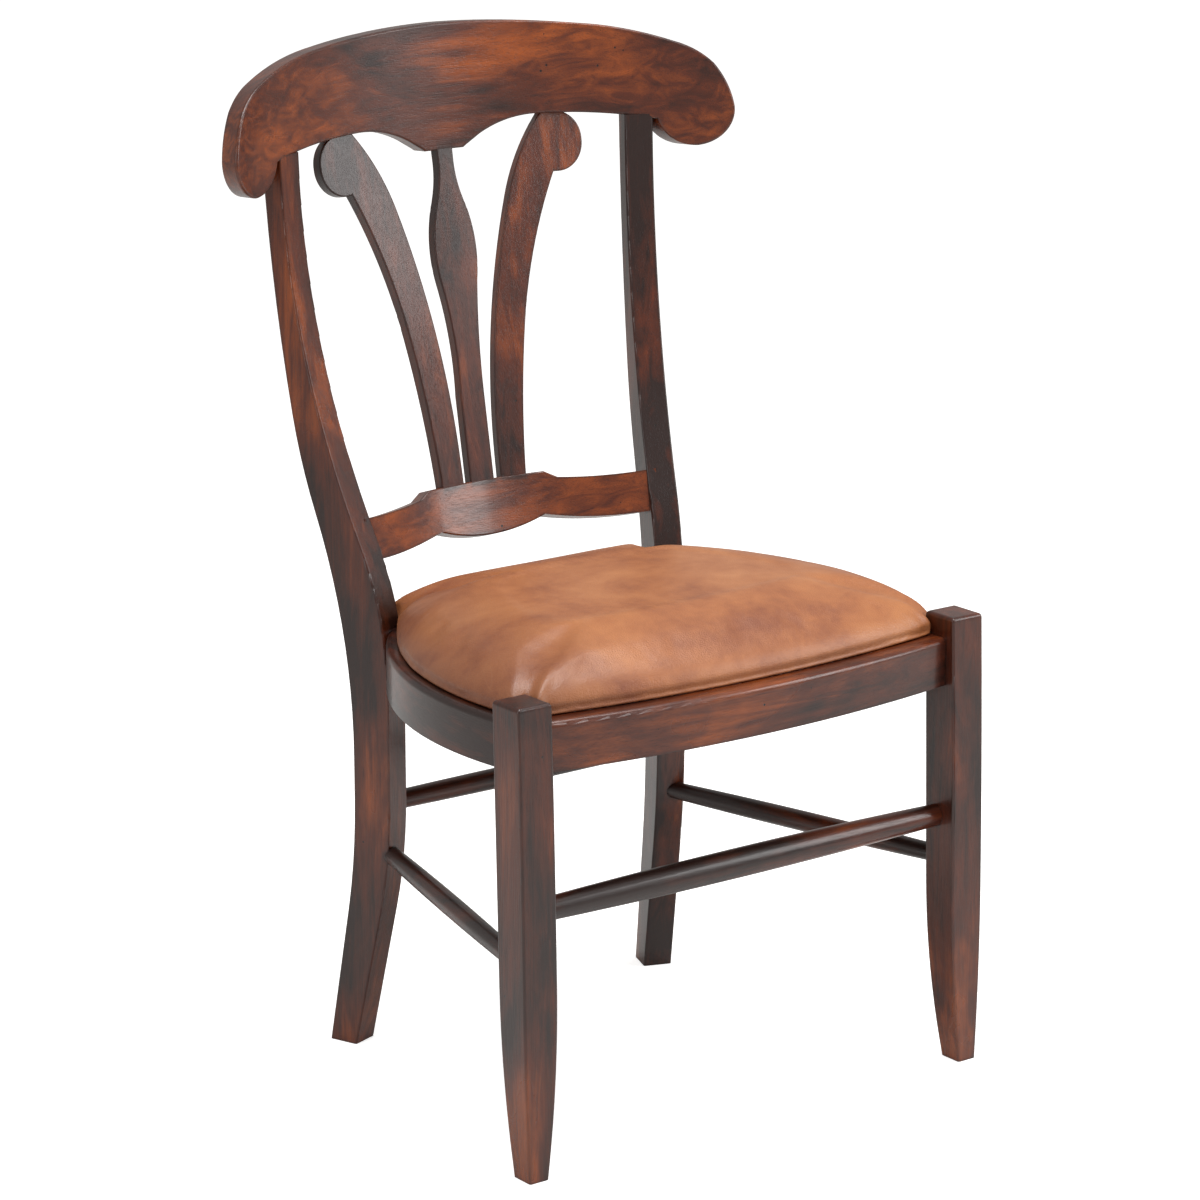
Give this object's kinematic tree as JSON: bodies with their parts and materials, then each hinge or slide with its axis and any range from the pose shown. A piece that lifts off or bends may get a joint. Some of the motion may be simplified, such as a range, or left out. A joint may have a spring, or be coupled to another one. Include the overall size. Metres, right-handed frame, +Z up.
{
  "type": "splat-back dining chair with leather seat",
  "caption": "Wooden dining chair with a scrolled crest rail, spread splats, sabre rear posts, turned stretchers and a padded leather seat.",
  "frame": {"origin": "on the floor, at the centre of the chair's overall footprint", "axes": "+Z up, -Y towards the front of the chair, +X to the right seen from the front; the chair mirrors across X = 0"},
  "size_m": [0.6202, 0.5698, 1.0268],
  "materials": {
    "stained_wood": "satin stained and waxed hardwood",
    "block_wood": "planed, unfinished",
    "plywood": "sanded plywood",
    "leather": "waxed pull-up leather",
    "foam": "open-cell upholstery foam",
    "cambric": "black non-woven cloth",
    "zinc_steel": "zinc plated"
  },
  "bodies": {
    "root": {"centre_splat": "stained_wood", "corner_bolts": "zinc_steel", "crest_rail": "stained_wood", "dust_cover": "cambric", "front_corner_block_left": "block_wood", "front_corner_block_right": "block_wood", "front_leg_left": "stained_wood", "front_leg_right": "stained_wood", "front_seat_rail": "stained_wood", "front_stretcher": "stained_wood", "left_splat": "stained_wood", "lower_back_rail": "stained_wood", "rear_corner_block_left": "block_wood", "rear_corner_block_right": "block_wood", "rear_post_left": "stained_wood", "rear_post_right": "stained_wood", "rear_seat_rail": "stained_wood", "rear_stretcher": "stained_wood", "right_splat": "stained_wood", "seat_board": "plywood", "seat_foam": "foam", "seat_leather": "leather", "seat_screws": "zinc_steel", "side_seat_rail_left": "stained_wood", "side_seat_rail_right": "stained_wood", "side_stretcher_left": "stained_wood", "side_stretcher_right": "stained_wood"}
  },
  "joints": []
}
